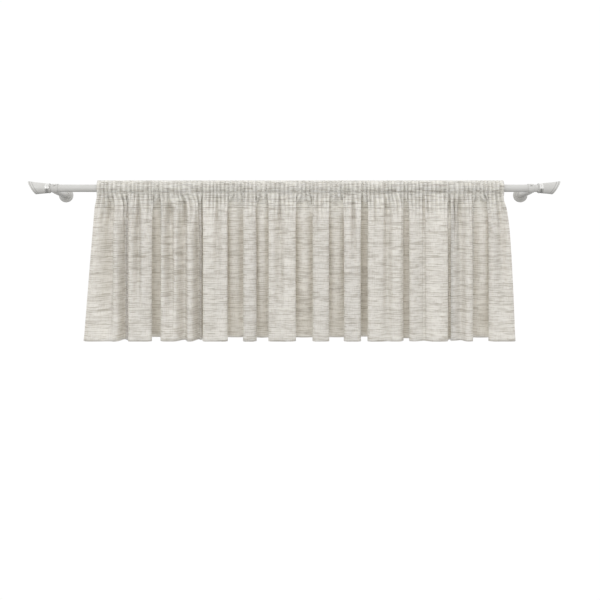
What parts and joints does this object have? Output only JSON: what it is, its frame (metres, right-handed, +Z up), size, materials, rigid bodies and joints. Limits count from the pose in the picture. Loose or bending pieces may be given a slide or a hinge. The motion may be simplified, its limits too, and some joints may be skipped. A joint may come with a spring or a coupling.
{
  "type": "window valance on a curtain rod",
  "caption": "Gathered slub-weave window valance hung by its rod pocket on a round white rod with flared finials and wall brackets.",
  "frame": {"origin": "on the wall plane, midway between the two wall plates and level with their centres", "axes": "+X along the rod to the right as seen from the room, +Y into the wall, +Z up"},
  "size_m": [1.3462, 0.1408, 0.4011],
  "materials": {
    "slub_cloth": "ivory slub weave with grey-beige weft threads",
    "satin_paint": "warm white satin paint",
    "plated_steel": "dull nickel plate"
  },
  "bodies": {
    "root": {"valance_cloth": "slub_cloth", "curtain_rod": "satin_paint", "bracket_left": "satin_paint", "bracket_right": "satin_paint", "finial_left": "satin_paint", "finial_right": "satin_paint", "screw_left": "plated_steel", "screw_right": "plated_steel"}
  },
  "joints": []
}
